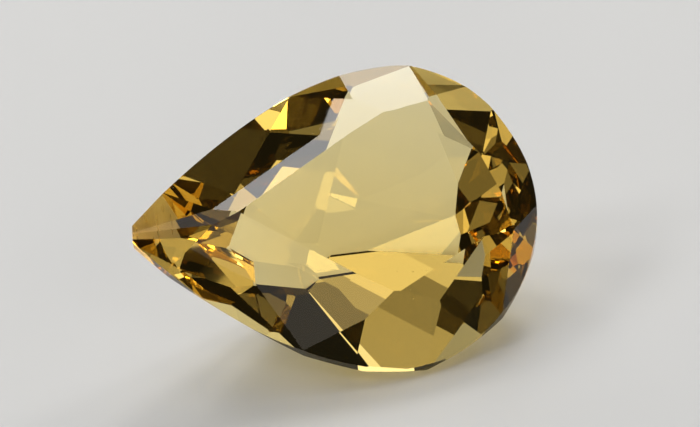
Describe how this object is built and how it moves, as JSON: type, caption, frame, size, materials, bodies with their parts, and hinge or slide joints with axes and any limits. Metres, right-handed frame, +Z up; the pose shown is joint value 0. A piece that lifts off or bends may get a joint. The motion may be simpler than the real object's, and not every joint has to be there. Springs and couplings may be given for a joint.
{
  "type": "cut gemstone",
  "caption": "Clear golden-yellow beryl, cut and polished as a pear-shaped faceted stone for setting in jewellery or showing loose.",
  "frame": {"origin": "on the floor, midway along the length and the width of the stone as it lies on a pavilion facet", "axes": "+Z up from the resting facet; +X along the stone's length, from the pointed tip towards the round head; the table looks up and towards -Y"},
  "size_m": [0.012, 0.0082, 0.0065],
  "materials": {
    "golden_beryl": "polished"
  },
  "bodies": {
    "root": {"heliodor": "golden_beryl"}
  },
  "joints": []
}
